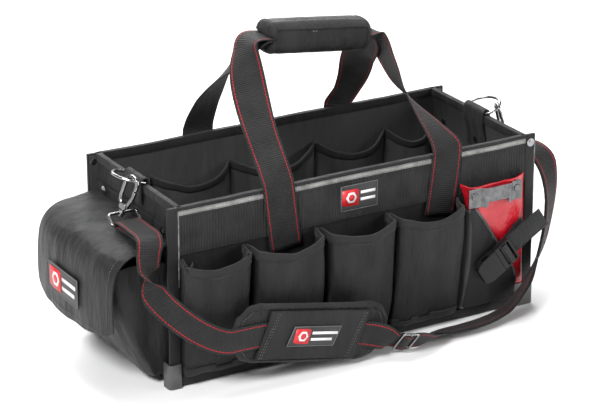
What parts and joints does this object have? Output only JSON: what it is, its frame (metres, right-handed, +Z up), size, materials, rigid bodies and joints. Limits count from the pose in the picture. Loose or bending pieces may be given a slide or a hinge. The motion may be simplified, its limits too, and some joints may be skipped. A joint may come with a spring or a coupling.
{
  "type": "open top tool tote",
  "caption": "Open top tool tote in black cloth with webbing handles, outside pockets, a tape clip, a holster and a padded shoulder strap on snap hooks.",
  "frame": {"origin": "centre of the tote's footprint on the floor, at the middle of the box", "axes": "+X along the long side towards the end with the holster, +Y towards the back wall with the inner pockets, +Z up"},
  "size_m": [0.7535, 0.3418, 0.4643],
  "materials": {
    "cloth": "coarse woven, matt with a soft sheen",
    "binding": "ribbed binding tape",
    "tape": "light grey reflective tape",
    "webbing": "ribbed webbing with dark red edge stitching",
    "vinyl": "glossy coated cloth",
    "chrome": "polished plating",
    "moulded": "satin moulded",
    "rubber": "matt moulded"
  },
  "bodies": {
    "tote": {"base_board": "cloth", "front_panel": "cloth", "back_panel": "cloth", "left_end_panel": "cloth", "right_end_panel": "cloth", "front_pocket_1": "cloth", "front_pocket_2": "cloth", "front_pocket_3": "cloth", "front_pocket_4": "cloth", "side_pocket": "cloth", "side_flap": "cloth", "holster_panel": "cloth", "inner_pockets": "cloth", "grip": "cloth", "shoulder_pad": "cloth", "front_rim_binding": "binding", "back_rim_binding": "binding", "left_rim_binding": "binding", "right_rim_binding": "binding", "base_hem": "binding", "front_left_corner_strip": "binding", "front_right_corner_strip": "binding", "back_left_corner_strip": "binding", "back_right_corner_strip": "binding", "front_tape": "tape", "front_band": "webbing", "left_tab": "webbing", "right_tab": "webbing", "holster_strap": "webbing", "front_handle": "webbing", "back_handle": "webbing", "strap_left": "webbing", "strap_right": "webbing", "holster_pouch": "vinyl", "front_right_ear_rivet": "chrome", "back_left_ear_rivet": "chrome", "left_back_rivet": "chrome", "left_front_rivet": "chrome", "right_back_rivet": "chrome", "right_tab_rivet": "chrome", "left_d_ring": "chrome", "right_d_ring": "chrome", "left_hook": "chrome", "right_hook": "chrome", "left_swivel_ring": "chrome", "right_swivel_ring": "chrome", "tape_clip": "chrome", "tri_glide": "chrome", "buckle_socket": "moulded", "buckle_plug": "moulded", "pad_cover": "moulded", "pad_patch": "moulded", "band_patch": "moulded", "flap_patch": "moulded", "front_left_foot": "rubber", "front_right_foot": "rubber", "back_left_foot": "rubber", "back_right_foot": "rubber"},
    "left_gate": {"left_hook_gate": "chrome"},
    "right_gate": {"right_hook_gate": "chrome"}
  },
  "joints": [
    {"name": "left_gate_hinge", "type": "hinge", "parent": "tote", "child": "left_gate", "pos_m": [-0.31236, -0.02489, 0.23902], "axis": [-0.9181, -0.2983, 0.261], "range_deg": [0, 25], "stiffness_Nm_per_rad": 0.003},
    {"name": "right_gate_hinge", "type": "hinge", "parent": "tote", "child": "right_gate", "pos_m": [0.31236, -0.02489, 0.23902], "axis": [-0.9181, 0.2983, -0.261], "range_deg": [0, 25], "stiffness_Nm_per_rad": 0.003}
  ]
}
